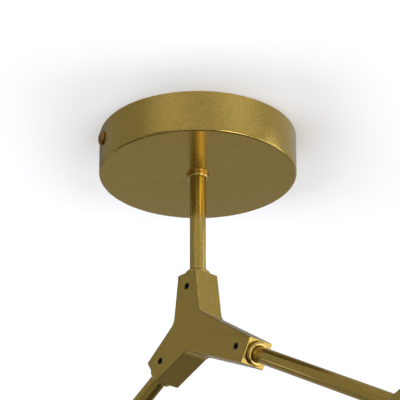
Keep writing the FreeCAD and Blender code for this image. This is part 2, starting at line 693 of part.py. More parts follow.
os.makedirs("parts", exist_ok=True)
for piece in nodes:
    shape = piece.Shape
    if shape.isNull() or not shape.isValid() or not shape.Solids:
        raise RuntimeError("%s has no sound solid" % piece.Label)
    shape.exportStep("parts/%s.step" % piece.Label)
    print("%-26s %d solid(s) %10.1f mm3" % (piece.Label, len(shape.Solids), shape.Volume))
print("%d nodes" % len(nodes))
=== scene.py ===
import json
import math

import bmesh
import bpy
import numpy as np
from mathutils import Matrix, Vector


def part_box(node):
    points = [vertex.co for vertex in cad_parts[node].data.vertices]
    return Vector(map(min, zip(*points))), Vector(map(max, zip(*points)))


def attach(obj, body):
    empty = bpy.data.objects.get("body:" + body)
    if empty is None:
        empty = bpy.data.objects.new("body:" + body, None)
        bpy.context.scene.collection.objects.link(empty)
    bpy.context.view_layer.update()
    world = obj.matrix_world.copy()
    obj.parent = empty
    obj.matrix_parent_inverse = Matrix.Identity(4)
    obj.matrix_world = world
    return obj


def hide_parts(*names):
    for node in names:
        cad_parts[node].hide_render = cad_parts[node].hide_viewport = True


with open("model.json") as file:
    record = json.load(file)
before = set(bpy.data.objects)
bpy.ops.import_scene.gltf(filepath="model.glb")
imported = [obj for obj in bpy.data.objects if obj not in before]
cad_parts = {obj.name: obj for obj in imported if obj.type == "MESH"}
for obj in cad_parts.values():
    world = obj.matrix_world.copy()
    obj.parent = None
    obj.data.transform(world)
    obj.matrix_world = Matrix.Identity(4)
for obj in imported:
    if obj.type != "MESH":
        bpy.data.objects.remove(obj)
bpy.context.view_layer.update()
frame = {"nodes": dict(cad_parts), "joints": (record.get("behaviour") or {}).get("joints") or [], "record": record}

scene = bpy.context.scene
joints = {joint["name"]: joint for joint in frame["joints"]}
mm = 0.001
print("frame loaded:", len(frame["nodes"]), "nodes")


# Where things are: every hub and lamp is placed from the axes that the CAD model turns on

def unit(vector):
    return vector / np.linalg.norm(vector)


def axisFrame(origin, zAxis, xHint=(1.0, 0.0, 0.0)):
    # 4x4 frame: Z along zAxis, X the part of xHint that is square to it
    z = unit(np.asarray(zAxis, float))
    hint = np.asarray(xHint, float)
    if abs(hint @ z) > 0.95 * np.linalg.norm(hint):
        hint = np.array((0.0, 1.0, 0.0))
    x = unit(hint - (hint @ z) * z)
    result = np.eye(4)
    result[:3, 0], result[:3, 1], result[:3, 2], result[:3, 3] = x, np.cross(z, x), z, origin
    return result


def shifted(base, distance):
    # the same frame moved along its own Z
    result = base.copy()
    result[:3, 3] += base[:3, 2] * distance
    return result


def jointAxis(name):
    return np.array(joints[name]["pos_m"], float), unit(np.array(joints[name]["axis"], float))


hubSizes = {
    "shortArm": 37.9 * mm,      # centre to end face, up and left arms
    "longArm": 60.6 * mm,       # centre to end face, right arm
    "thick": 18.3 * mm,
    "endWide": 16.7 * mm,
    "rootWide": 24.8 * mm,
    "crotchRound": 8.0 * mm,    # fillet between two arms
    "cornerRound": 0.6 * mm,    # corners of the end faces
    "edgeRound": 0.8 * mm,      # front and back edges
    "socket": 10.2 * mm,        # bore for a tube
    "socketDeep": 14.0 * mm,
    "seat": 15.8 * mm,          # shallow seat of a port ring
    "seatDeep": 0.8 * mm,
    "screwInset": 9.7 * mm,     # grub screw's axis, in from the end face
    "screwHole": 4.3 * mm,
    "screwFoot": 5.05 * mm,     # foot of the grub screw above the arm's axis
    "screwAcross": 4.2 * mm,
    "screwLong": 3.9 * mm,
    "screwKey": 2.0 * mm,
    "armAngles": {"up": 90.0, "right": -30.0, "left": 210.0},
}


def hubFrame(upAxis, rightAxis, rightEnd):
    # frame of a hub: Z towards its up arm, X in the plane of the arms, origin where the arms meet
    centre = rightEnd - rightAxis * hubSizes["longArm"]
    return axisFrame(centre, upAxis, rightAxis)


def hubPort(hub, arm):
    # frame at the end face of an arm, Z pointing out of it
    angle = math.radians(hubSizes["armAngles"][arm])
    outward = hub[:3, 0] * math.cos(angle) + hub[:3, 2] * math.sin(angle)
    reach = hubSizes["longArm"] if arm == "right" else hubSizes["shortArm"]
    return axisFrame(hub[:3, 3] + outward * reach, outward, hub[:3, 1])


lampSizes = {
    "tubeFree": 80.0 * mm,      # between the hub's end face and the cup
    "bossTall": 10.0 * mm,
    "floorThick": 2.0 * mm,
    "cupDeep": 22.0 * mm,
    "neckAcross": 34.5 * mm,
    "cupWall": 1.7 * mm,
    "glassThick": 2.5 * mm,
    "globeAcross": 120.0 * mm,
    "neckShow": 2.0 * mm,       # neck that stands out of the cup
    "neckGap": 0.05 * mm,       # all round the neck
    "gasketThick": 1.5 * mm,
    "rimGap": 0.3 * mm,         # between gasket and globe
    "bossAcross": 16.0 * mm,
    "shoulder": 3.0 * mm,
    "tubeBore": 10.1 * mm,
    "tubeBoreDeep": 9.0 * mm,
    "leadHole": 7.0 * mm,
    "screwHole": 3.2 * mm,
    "screwFoot": 5.05 * mm,     # foot of the grub screw above the cup's axis
    "screwAcross": 3.0 * mm,
    "screwLong": 2.6 * mm,
    "screwKey": 1.5 * mm,
}
rightLink, rightAxis = jointAxis("right_branch_turn")
leftAxis = jointAxis("left_branch_turn")[1]
centreHub = hubFrame((0, 0, 1), rightAxis, rightLink)
lampSeats = {}
branchHubs = {}
for side, linkAxis, longLamp, shortLamp in (("right", rightAxis, 1, 2), ("left", leftAxis, 3, 4)):
    for number in (longLamp, shortLamp):
        seat, outward = jointAxis("globe_%d_unscrew" % number)
        lampSeats[number] = axisFrame(seat, outward, linkAxis)
    longSeat, longAxis = jointAxis("globe_%d_unscrew" % longLamp)
    beyondHub = lampSizes["tubeFree"] + lampSizes["bossTall"] + lampSizes["floorThick"]
    branchHubs[side] = hubFrame(-linkAxis, longAxis, longSeat - longAxis * beyondHub)


# Meshes: each surface is a grid of points worked out as whole arrays

def gridFaces(rows, columns, loopRows):
    # quads between neighbouring rows; the last column always joins the first
    row = np.arange(rows if loopRows else rows - 1)[:, None]
    column = np.arange(columns)[None, :]
    nextRow, nextColumn = (row + 1) % rows, (column + 1) % columns
    corners = (row * columns + column, row * columns + nextColumn,
               nextRow * columns + nextColumn, nextRow * columns + column)
    return np.stack(np.broadcast_arrays(*corners), axis=-1).reshape(-1, 4)


def meshObject(name, points, faces):
    mesh = bpy.data.meshes.new(name)
    mesh.from_pydata(points.tolist(), [], [list(face) for face in faces])
    piece = bpy.data.objects.new(name, mesh)
    scene.collection.objects.link(piece)
    return piece


def settled(piece, sharpAngle=30.0):
    # smooth shading, with edges kept crisp where two faces meet at more than the angle
    piece.data.shade_smooth()
    piece.data.set_sharp_from_angle(angle=math.radians(sharpAngle))
    return piece


def tidied(piece):
    # doubles merged and faces turned outwards
    soft = bmesh.new()
    soft.from_mesh(piece.data)
    bmesh.ops.remove_doubles(soft, verts=soft.verts, dist=1e-6)
    bmesh.ops.recalc_face_normals(soft, faces=soft.faces)
    soft.to_mesh(piece.data)
    soft.free()
    return settled(piece)


def roundedLoop(corners, radii, closed=True, steps=6):
    # each corner of the polygon gives way to an arc of its radius, tangent to both sides:
    # centre = corner + bisector * radius / sin(half angle), swept evenly from side to side
    corners = np.asarray(corners, float)
    path = []
    for k, (corner, radius) in enumerate(zip(corners, radii)):
        if radius <= 0 or (not closed and k in (0, len(corners) - 1)):
            path.append(corner[None, :])
            continue
        back = unit(corners[k - 1] - corner)
        ahead = unit(corners[(k + 1) % len(corners)] - corner)
        half = math.acos(np.clip(back @ ahead, -1, 1)) / 2
        centre = corner + unit(back + ahead) * radius / math.sin(half)
        first = unit(corner + back * radius / math.tan(half) - centre)
        last = unit(corner + ahead * radius / math.tan(half) - centre)
        sweep = math.pi - 2 * half
        t = np.linspace(0, 1, steps + 1)[:, None]
        arc = (np.sin((1 - t) * sweep) * first + np.sin(t * sweep) * last) / math.sin(sweep)
        path.append(centre + arc * radius)
    return np.concatenate(path)


def turnedSurface(name, profile, place, steps=96, loop=True):
    # surface of revolution: radius and height from the profile, x = r cos a, y = r sin a, z = height
    angle = np.linspace(0, 2 * math.pi, steps, endpoint=False)[None, :]
    radius, height = profile[:, :1], profile[:, 1:]
    local = np.stack(np.broadcast_arrays(radius * np.cos(angle), radius * np.sin(angle), height), axis=-1)
    points = local.reshape(-1, 3) @ place[:3, :3].T + place[:3, 3]
    return tidied(meshObject(name, points, gridFaces(len(profile), steps, loop)))


def turnedRing(name, corners, radii, place, steps=96, arcSteps=6):
    # closed profile with a bore, such as a tube, ring or pan; sizes in metres
    return turnedSurface(name, roundedLoop(corners, radii, True, arcSteps), place, steps)


def turnedKnob(name, corners, radii, place, steps=96, arcSteps=6):
    # profile that starts and ends on the axis, such as a screw or a drill
    return turnedSurface(name, roundedLoop(corners, radii, False, arcSteps), place, steps, False)


def straightBar(radius, low, high, place, steps):
    # bar along the frame's Z from low to high: round for a drill, square with four steps
    return turnedKnob("bar", [(0, low), (radius, low), (radius, high), (0, high)], [0] * 4, place, steps)


def joinedPiece(name, pieces):
    # several meshes become one piece
    points, faces, offset = [], [], 0
    for piece in pieces:
        mesh = piece.data
        places = np.empty(3 * len(mesh.vertices), np.float32)
        mesh.vertices.foreach_get("co", places)
        points.append(places.reshape(-1, 3))
        faces.extend([offset + index for index in face.vertices] for face in mesh.polygons)
        offset += len(mesh.vertices)
        bpy.data.objects.remove(piece)
    return settled(meshObject(name, np.concatenate(points), faces), 32.0)


def carved(piece, cutters):
    # the cutters' shapes taken out of the piece in one step, with the result kept as its mesh
    tools = bpy.data.collections.new("cutters")
    for cutter in cutters:
        tools.objects.link(cutter)
    change = piece.modifiers.new("carve", "BOOLEAN")
    change.operand_type = "COLLECTION"
    change.collection = tools
    change.operation = "DIFFERENCE"
    change.solver = "MANIFOLD"
    depsgraph = bpy.context.evaluated_depsgraph_get()
    result = bpy.data.meshes.new_from_object(piece.evaluated_get(depsgraph))
    piece.modifiers.clear()
    piece.data = result
    for cutter in cutters:
        bpy.data.objects.remove(cutter)
    bpy.data.collections.remove(tools)
    return tidied(piece)


# Materials: colours are sRGB hex, scales come from millimetres

def linear(hexColour):
    channels = np.array([int(hexColour[k:k + 2], 16) for k in (0, 2, 4)]) / 255.0
    curved = np.where(channels <= 0.04045, channels / 12.92, ((channels + 0.055) / 1.055) ** 2.4)
    return (*curved.tolist(), 1.0)


def perMetre(millimetres):
    # noise scale whose features are that many millimetres across
    return 1000.0 / millimetres


def addNode(tree, kind, settings=(), inputs=(), links=()):
    node = tree.nodes.new(kind)
    for key, value in dict(settings).items():
        setattr(node, key, value)
    for key, value in dict(inputs).items():
        node.inputs[key].default_value = value
    for key, socket in dict(links).items():
        tree.links.new(socket, node.inputs[key])
    return node


def newMaterial(name, finish):
    material = bpy.data.materials.new(name)
    material.use_nodes = True
    tree = material.node_tree
    tree.nodes.clear()
    output = addNode(tree, "ShaderNodeOutputMaterial")
    shader = addNode(tree, "ShaderNodeBsdfPrincipled", inputs=finish)
    tree.links.new(shader.outputs["BSDF"], output.inputs["Surface"])
    where = addNode(tree, "ShaderNodeTexCoord")
    return material, tree, shader, where.outputs["Object"]


def grained(name, looks, finish):
    # two shades mixed by a broad mottle and a fine grain, the grain also in roughness and bump
    material, tree, shader, where = newMaterial(name, finish)
    grain = addNode(tree, "ShaderNodeTexNoise", {}, {"Scale": perMetre(looks["grainSize"]), "Detail": 3.0},
                    {"Vector": where})
    mottle = addNode(tree, "ShaderNodeTexNoise", {}, {"Scale": perMetre(looks["mottleSize"]), "Detail": 2.0},
                     {"Vector": where})
    spread = addNode(tree, "ShaderNodeMapRange", inputs={"From Min": 0.3, "From Max": 0.7},
                     links={"Value": grain.outputs["Fac"]})
    share = addNode(tree, "ShaderNodeMix", {"data_type": "FLOAT"}, {"Factor": looks["mottleShare"]},
                    {"A": spread.outputs["Result"], "B": mottle.outputs["Fac"]})
    tint = addNode(tree, "ShaderNodeMix", {"data_type": "RGBA"},
                   {"A": linear(looks["dark"]), "B": linear(looks["light"])},
                   {"Factor": share.outputs["Result"]})
    gloss = addNode(tree, "ShaderNodeMapRange",
                    inputs={"To Min": looks["smoothest"], "To Max": looks["roughest"]},
                    links={"Value": share.outputs["Result"]})
    bump = addNode(tree, "ShaderNodeBump", {},
                   {"Strength": looks["bump"], "Distance": looks["bumpDeep"] * mm},
                   {"Height": grain.outputs["Fac"]})
    tree.links.new(tint.outputs["Result"], shader.inputs["Base Color"])
    tree.links.new(gloss.outputs["Result"], shader.inputs["Roughness"])
    tree.links.new(bump.outputs["Normal"], shader.inputs["Normal"])
    return material


# Metallic gold lacquer sprayed on steel and die-cast zinc: flakes give a fine sparkle and a satin mirror.
# Real flakes are near 0.1 mm, so they are drawn 1 mm across to show.
goldLacquer = grained("goldLacquer", {
    "dark": "A8904A", "light": "CBAE5C", "grainSize": 1.0, "mottleSize": 9.0, "mottleShare": 0.2,
    "smoothest": 0.12, "roughest": 0.21, "bump": 0.6, "bumpDeep": 0.04,
}, {"Metallic": 0.96})

# Polished and clear-lacquered brass of the port rings and the bush: a brighter, sharper gleam
polishedBrass = grained("polishedBrass", {
    "dark": "C9A75A", "light": "E0C57E", "grainSize": 0.6, "mottleSize": 6.0, "mottleShare": 0.5,
    "smoothest": 0.12, "roughest": 0.20, "bump": 0.04, "bumpDeep": 0.01,
}, {"Metallic": 1.0})

# Copper-plated screw: warm, shiny, a little uneven
copperPlate = grained("copperPlate", {
    "dark": "7E5C30", "light": "C09658", "grainSize": 0.8, "mottleSize": 3.0, "mottleShare": 0.5,
    "smoothest": 0.16, "roughest": 0.30, "bump": 0.06, "bumpDeep": 0.02,
}, {"Metallic": 1.0})

# Black-oxide steel of the grub screws: nearly black with a dull oily gleam
blackOxide = grained("blackOxide", {
    "dark": "060606", "light": "14130F", "grainSize": 0.4, "mottleSize": 2.0, "mottleShare": 0.4,
    "smoothest": 0.35, "roughest": 0.50, "bump": 0.05, "bumpDeep": 0.02,
}, {"Metallic": 0.6})

# Zinc-plated steel of the strap, nut, nipple and hidden screws: pale, cool, softly cloudy
zincPlate = grained("zincPlate", {
    "dark": "9DA1A4", "light": "C3C6C8", "grainSize": 0.7, "mottleSize": 5.0, "mottleShare": 0.6,
    "smoothest": 0.28, "roughest": 0.42, "bump": 0.05, "bumpDeep": 0.02,
}, {"Metallic": 1.0})

# Plain brass of the terminals
plainBrass = grained("plainBrass", {
    "dark": "A98545", "light": "CDAE68", "grainSize": 0.5, "mottleSize": 3.0, "mottleShare": 0.5,
    "smoothest": 0.25, "roughest": 0.40, "bump": 0.05, "bumpDeep": 0.02,
}, {"Metallic": 1.0})

# Glazed steatite of the lampholders: warm white under a hard gloss
glazedCeramic = grained("glazedCeramic", {
    "dark": "E4DFD2", "light": "F1EEE6", "grainSize": 1.2, "mottleSize": 6.0, "mottleShare": 0.5,
    "smoothest": 0.14, "roughest": 0.24, "bump": 0.05, "bumpDeep": 0.03,
}, {"IOR": 1.52, "Coat Weight": 0.4})

# Moulded polyamide of the terminal block: milky white, matt
mouldedPolyamide = grained("mouldedPolyamide", {
    "dark": "DAD8CC", "light": "E9E7DE", "grainSize": 0.4, "mottleSize": 5.0, "mottleShare": 0.4,
    "smoothest": 0.42, "roughest": 0.55, "bump": 0.08, "bumpDeep": 0.03,
}, {"IOR": 1.53})

# Silicone rubber of the gaskets and the grommet: soft grey-white, waxy
siliconeRubber = grained("siliconeRubber", {
    "dark": "B9B8B2", "light": "CBCAC5", "grainSize": 0.5, "mottleSize": 4.0, "mottleShare": 0.5,
    "smoothest": 0.50, "roughest": 0.65, "bump": 0.06, "bumpDeep": 0.03,
}, {"IOR": 1.41})

# Glass-fibre sleeve over the leads: off-white with the small ribs of a braid
braidedSleeve = grained("braidedSleeve", {
    "dark": "BDB8A8", "light": "DCD8CB", "grainSize": 0.6, "mottleSize": 2.5, "mottleShare": 0.3,
    "smoothest": 0.55, "roughest": 0.75, "bump": 0.25, "bumpDeep": 0.08,
}, {"IOR": 1.5})

# Opal glass, a clear skin over a milky core: even white with a clean gloss and a faint cloudiness
opalGlass = grained("opalGlass", {
    "dark": "BAB8B3", "light": "C7C5C0", "grainSize": 6.0, "mottleSize": 40.0, "mottleShare": 0.6,
    "smoothest": 0.06, "roughest": 0.10, "bump": 0.02, "bumpDeep": 0.05,
}, {"IOR": 1.51, "Coat Weight": 0.5, "Coat Roughness": 0.04, "Subsurface Weight": 0.25,
    "Subsurface Scale": 4.0 * mm})

# Frosted capsule of the bulbs: acid-etched glass, soft and pale
frostedGlass = grained("frostedGlass", {
    "dark": "E3E2DC", "light": "F4F3EE", "grainSize": 0.6, "mottleSize": 5.0, "mottleShare": 0.4,
    "smoothest": 0.30, "roughest": 0.42, "bump": 0.05, "bumpDeep": 0.02,
}, {"IOR": 1.51})

finishes = {
    "gold_paint": goldLacquer, "ring_gold": polishedBrass, "copper_screw": copperPlate,
    "black_screw": blackOxide, "zinc_steel": zincPlate, "brass": plainBrass, "ceramic": glazedCeramic,
    "block_plastic": mouldedPolyamide, "silicone": siliconeRubber, "lead_jacket": braidedSleeve,
    "opal_glass": opalGlass, "bulb_glass": frostedGlass,
}
slots = {part["node"]: part["material_slot"] for part in frame["record"]["subparts"]}
for nodeName, node in frame["nodes"].items():
    node.data.materials.clear()
    node.data.materials.append(finishes[slots[nodeName]])
print("materials made:", len(finishes))


def fitted(piece, node, body):
    # the piece takes the CAD node's place, body, slot and finish
    piece.data.materials.clear()
    piece.data.materials.append(finishes[slots[node]])
    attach(piece, body)
    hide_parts(node)
    return piece


# Canopy, its bush and the two side screws

canopySizes = {
    "across": 125.0 * mm,
    "drop": 27.2 * mm,
    "wall": 1.2 * mm,
    "edge": 1.5 * mm,           # rounding of the lower edge
    "rimRound": 0.2 * mm,
    "holeRound": 0.1 * mm,
    "insideRound": 0.4 * mm,
    "hole": 6.05 * mm,          # radius of the hole for the bush
    "screwDrop": 9.7 * mm,      # side screws below the ceiling
    "screwHole": 4.4 * mm,
    "headAcross": 9.0 * mm,
    "headTall": 2.4 * mm,
    "domeLow": 0.55,            # where the dome starts, as a share of the head's height
    "domeWide": 0.62,           # flat top, as a share of the head's width
    "shank": 3.4 * mm,
    "shankLong": 9.0 * mm,
    "crossWide": 1.1 * mm,
    "crossLong": 5.0 * mm,
    "bushAcross": 14.0 * mm,
    "bushTall": 2.4 * mm,
    "bushBore": 10.1 * mm,
    "bushSpigot": 12.0 * mm,
    "bushRise": 3.0 * mm,       # spigot above the pan's underside
}


def makeCanopy(s):
    # spun pan: outside wall, rounded lower edge, flat floor with the stem's hole, and the inside wall
    rim, low, wall = s["across"] / 2, -s["drop"], s["wall"]
    corners = [(rim, 0), (rim, low), (s["hole"], low), (s["hole"], low + wall), (rim - wall, low + wall),
               (rim - wall, 0)]
    radii = [s["rimRound"], s["edge"], s["holeRound"], s["holeRound"], s["insideRound"], s["rimRound"]]
    pan = turnedRing("canopyPan", corners, radii, np.eye(4), steps=256, arcSteps=8)
    reach = 8 * wall            # the drill starts well inside the wall and ends well outside it
    drills = []
    for sideways in (1, -1):
        place = axisFrame((sideways * (rim - reach / 2), 0, -s["screwDrop"]), (sideways, 0, 0))
        drills.append(straightBar(s["screwHole"] / 2, 0, reach, place, 48))
    carved(pan, drills)
    fitted(pan, "canopy_pan", "ceiling_fixing")


def crossCutter(s, place):
    # two square bars laid across the head's top, each sunk by half its width
    bars = []
    for turn in (45.0, 135.0):
        a = math.radians(turn)
        along = place[:3, 0] * math.cos(a) + place[:3, 1] * math.sin(a)
        start = place[:3, 3] - along * s["crossLong"] / 2
        corner = s["crossWide"] * math.sqrt(0.5)
        bars.append(straightBar(corner, 0, s["crossLong"], axisFrame(start, along, place[:3, 2]), 4))
    return bars


def makeSideScrews(s):
    # pan head: flat underneath, domed on top, with a cross recess
    head, shank, tall, long = s["headAcross"] / 2, s["shank"] / 2, s["headTall"], s["shankLong"]
    corners = [(0, -long), (shank, -long), (shank, 0), (head, 0), (head, s["domeLow"] * tall),
               (s["domeWide"] * head, tall), (0, tall)]
    radii = [0, 0.4 * mm, 0, 0.2 * mm, 0.9 * mm, 1.2 * mm, 0]
    screws = []
    for sideways in (1, -1):
        seat = axisFrame((sideways * s["across"] / 2, 0, -s["screwDrop"]), (sideways, 0, 0), (0, 0, 1))
        screw = turnedKnob("sideScrew", corners, radii, seat, steps=64)
        screws.append(carved(screw, crossCutter(s, shifted(seat, tall))))
    fitted(joinedPiece("canopySideScrews", screws), "canopy_side_screws", "ceiling_fixing")


def makeBush(s):
    # flange with a rounded lip below the pan, and a spigot up through its floor
    bore, flange, spigot = s["bushBore"] / 2, s["bushAcross"] / 2, s["bushSpigot"] / 2
    corners = [(bore, s["bushRise"]), (spigot, s["bushRise"]), (spigot, 0), (flange, 0),
               (flange, -s["bushTall"]), (bore, -s["bushTall"])]
    radii = [0.2 * mm, 0.3 * mm, 0, 0.2 * mm, 1.1 * mm, 0.3 * mm]
    bush = turnedRing("canopyBush", corners, radii, shifted(np.eye(4), -s["drop"]), steps=128)
    fitted(bush, "canopy_bush", "ceiling_fixing")


makeCanopy(canopySizes)
makeSideScrews(canopySizes)
makeBush(canopySizes)
print("canopy made")


# Hubs: one casting each, with port rings and grub screws

def hubOutline(s):
    # the three arms' corners in turn; neighbouring arms meet at rootWide, and every corner is an arc
    corners, radii = [], []
    crotchReach = s["rootWide"] / 2 / math.cos(math.radians(30))
    for arm in ("up", "right", "left"):
        a = math.radians(s["armAngles"][arm])
        along = np.array((math.cos(a), math.sin(a)))
        across = np.array((-math.sin(a), math.cos(a)))
        reach = s["longArm"] if arm == "right" else s["shortArm"]
        corners += [along * reach + across * s["endWide"] / 2, along * reach - across * s["endWide"] / 2]
        b = a - math.radians(60)
        corners.append(np.array((math.cos(b), math.sin(b))) * crotchReach)
        radii += [s["cornerRound"], s["cornerRound"], s["crotchRound"]]
    return roundedLoop(corners, radii, True, 8)


def hubCasting(name, hub, s):
    # plate between two faces: the outline is carried across the thickness, and at both edges it is drawn
    # in by r (1 - sin t) at the height of half the thickness less r (1 - cos t), r being the edge's
    # rounding; each face closes flat on its middle point
    outline = hubOutline(s)
    ahead, behind = np.roll(outline, -1, axis=0), np.roll(outline, 1, axis=0)
    along = ahead - behind
    inward = np.stack((along[:, 1], -along[:, 0]), axis=1) / np.linalg.norm(along, axis=1)[:, None]
    t = np.linspace(0, math.pi / 2, 6)
    inset = s["edgeRound"] * (1 - np.sin(t))
    height = s["thick"] / 2 - s["edgeRound"] * (1 - np.cos(t))
    insets = np.concatenate((inset, inset[::-1]))
    heights = np.concatenate((height, -height[::-1]))
    flat = outline[None, :, :] + inward[None, :, :] * insets[:, None, None]
    flat = np.concatenate((flat[:1] * 0, flat, flat[:1] * 0))
    heights = np.concatenate((heights[:1], heights, heights[-1:]))
    depth = np.broadcast_to(-heights[:, None], flat.shape[:2])
    local = np.stack((flat[..., 0], depth, flat[..., 1]), axis=-1)
    points = local.reshape(-1, 3) @ hub[:3, :3].T + hub[:3, 3]
    casting = tidied(meshObject(name, points, gridFaces(len(heights), len(outline), False)))
    seat, socket, beyond = s["seat"] / 2, s["socket"] / 2, 2 * mm
    port = [(0, -s["socketDeep"]), (socket, -s["socketDeep"]), (socket, -s["seatDeep"]),
            (seat, -s["seatDeep"]), (seat, beyond), (0, beyond)]
    drills = []
    for arm in s["armAngles"]:
        drills.append(turnedKnob("drill", port, [0] * len(port), hubPort(hub, arm), 64))
        drills.append(straightBar(s["screwHole"] / 2, socket / 2, s["thick"], screwFrame(hub, arm, s), 40))
    carved(casting, drills)
    keep = casting.modifiers.new("evenNormals", "WEIGHTED_NORMAL")
    keep.keep_sharp = True
    return casting


def screwFrame(hub, arm, s):
    # frame of a grub screw: origin on the arm's axis, Z out of the front face
    port = hubPort(hub, arm)
    return axisFrame(shifted(port, -s["screwInset"])[:3, 3], -hub[:3, 1], port[:3, 2])


def grubScrew(name, place, across, long, key):
    # headless screw: rings of points, the inner ones on a hexagon, r = key / 2 / cos(angle from a flat)
    steps = 48
    chamfer, keyDeep, pointDeep = 0.3 * mm, 1.6 * mm, 2.0 * mm
    angle = np.linspace(0, 2 * math.pi, steps, endpoint=False)
    fromFlat = (angle + math.pi / 6) % (math.pi / 3) - math.pi / 6
    hexagon = key / 2 / np.cos(fromFlat)
    circle = np.full(steps, across / 2)
    rings = [(circle * 0, 0), (circle, 0), (circle, long - chamfer), (circle - chamfer, long),
             (hexagon, long), (hexagon, long - keyDeep), (circle * 0, long - pointDeep)]
    radius = np.array([ring[0] for ring in rings])
    height = np.array([ring[1] for ring in rings])[:, None]
    local = np.stack(np.broadcast_arrays(radius * np.cos(angle), radius * np.sin(angle), height), axis=-1)
    points = local.reshape(-1, 3) @ place[:3, :3].T + place[:3, 3]
    return tidied(meshObject(name, points, gridFaces(len(rings), steps, False)))


ringSizes = {"across": 15.2 * mm, "bore": 10.1 * mm, "stand": 2.5 * mm, "round": 1.2 * mm,
             "boreRound": 0.5 * mm}


def portRing(name, port, s):
    # turned ring, seated in the end face and rounded over where it stands out
    bore, edge = s["bore"] / 2, s["across"] / 2
    low, high = -hubSizes["seatDeep"], s["stand"]
    return turnedRing(name, [(bore, low), (edge, low), (edge, high), (bore, high)],
                      [0, 0, s["round"], s["boreRound"]], port, arcSteps=8)


def makeHub(name, node, body, hub):
    # casting, a port ring in each arm's end and a grub screw in each arm's front
    s = hubSizes
    fitted(hubCasting(name, hub, s), node, body)
    rings = [portRing("ring", hubPort(hub, arm), ringSizes) for arm in s["armAngles"]]
    fitted(joinedPiece(name + "PortRings", rings), node + "_port_rings", body)
    screws = [grubScrew("grub", shifted(screwFrame(hub, arm, s), s["screwFoot"]), s["screwAcross"],
                        s["screwLong"], s["screwKey"]) for arm in s["armAngles"]]
    fitted(joinedPiece(name + "GrubScrews", screws), node + "_grub_screws", body)


makeHub("centreHubCasting", "centre_hub", "centre", centreHub)
makeHub("rightHubCasting", "right_hub", "right_branch", branchHubs["right"])
makeHub("leftHubCasting", "left_hub", "left_branch", branchHubs["left"])
print("hubs made")


# Stem, link tubes and lamp tubes

tubeSizes = {
    "across": 10.0 * mm,
    "bore": 8.1 * mm,
    "endRound": 0.15 * mm,
    "inPort": 13.0 * mm,        # pushed into a hub's socket
    "inBoss": 8.0 * mm,         # pushed into a cup's boss
}


def drawnTube(name, start, length, s):
    # straight drawn tube with softened ends
    inner, outer = s["bore"] / 2, s["across"] / 2
    corners = [(inner, 0), (outer, 0), (outer, length), (inner, length)]
    return turnedRing(name, corners, [s["endRound"]] * 4, start, arcSteps=3)


stemLow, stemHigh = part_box("stem_tube")
fitted(drawnTube("stemTube", axisFrame((0, 0, stemLow[2]), (0, 0, 1)), stemHigh[2] - stemLow[2], tubeSizes),
       "stem_tube", "centre")
for side in ("right", "left"):
    port = hubPort(centreHub, side)
    reach = np.linalg.norm(branchHubs[side][:3, 3] - port[:3, 3]) - hubSizes["shortArm"]
    fitted(drawnTube(side + "LinkTube", shifted(port, -tubeSizes["inPort"]), reach + 2 * tubeSizes["inPort"],
                     tubeSizes), side + "_link_tube", side + "_branch")
print("tubes made")


# Lamps

def lampCup(number, start, s):
    # boss on the tube, sloping shoulder and a straight skirt, floor and bore inside
    bore, boss, lead = s["tubeBore"] / 2, s["bossAcross"] / 2, s["leadHole"] / 2
    inside = s["neckAcross"] / 2 + s["neckGap"]
    outside = inside + s["cupWall"]
    floor = s["bossTall"] + s["floorThick"]
    top = floor + s["cupDeep"]
    corners = [(bore, 0), (boss, 0), (boss, s["bossTall"]), (outside - s["shoulder"], s["bossTall"]),
               (outside, s["bossTall"] + s["shoulder"]), (outside, top), (inside, top), (inside, floor),
               (lead, floor), (lead, s["tubeBoreDeep"]), (bore, s["tubeBoreDeep"])]
    radii = [0.3 * mm, 0.6 * mm, 1.2 * mm, 1.0 * mm, 1.5 * mm, 0.5 * mm, 0.4 * mm, 0.3 * mm, 0.2 * mm, 0, 0]
    cup = turnedRing("lampCup%d" % number, corners, radii, start, steps=128)
    inBoss, outOfBoss = 3 * mm, 12 * mm
    return carved(cup, [straightBar(s["screwHole"] / 2, inBoss, outOfBoss, cupScrewFrame(start, s), 32)])


def cupScrewFrame(start, s):
    # frame of the boss's grub screw: origin on the cup's axis, Z outwards
    return axisFrame(shifted(start, s["bossTall"] / 2)[:3, 3], cupSideways(start), start[:3, 2])


def cupSideways(start):
    # the boss's screw lies on the same side as the screws of the lamp's own hub
    hub = min(branchHubs.values(), key=lambda place: np.linalg.norm(place[:3, 3] - start[:3, 3]))
    return -hub[:3, 1]


def glassGlobe(number, rim, s):
    # blown globe: a sphere whose neck runs straight into the cup; the outer and inner skins meet at the
    # neck's rim, which a few short steps soften
    radius, neck, wall = s["globeAcross"] / 2, s["neckAcross"] / 2, s["glassThick"]
    neckLong = s["cupDeep"] - s["gasketThick"] - s["rimGap"] + s["neckShow"]
    centre = neckLong + math.sqrt(radius ** 2 - neck ** 2)

    def skin(ball, throat):
        # r = ball sin a, height = centre + ball cos a, from the neck's junction round to the far pole
        start = math.asin(throat / ball)
        a = np.linspace(math.pi - start, 0, 72)
        return np.stack((ball * np.sin(a), centre + ball * np.cos(a)), axis=1)

    outer, inner = skin(radius, neck), skin(radius - wall, neck - wall)
    outer[-1, 0] = inner[-1, 0] = 0.0
    neckOuter = np.array([(neck - 0.8 * mm, 0.0), (neck - 0.2 * mm, 0.25 * mm), (neck, 0.9 * mm),
                          (neck, neckLong - 0.8 * mm)])
    neckInner = np.array([(neck - wall, 0.9 * mm), (neck - wall + 0.4 * mm, 0.2 * mm)])
    profile = np.concatenate((inner[::-1], neckInner, neckOuter, outer[1:]))
    return turnedSurface("globe%d" % number, profile, rim, 128, False)


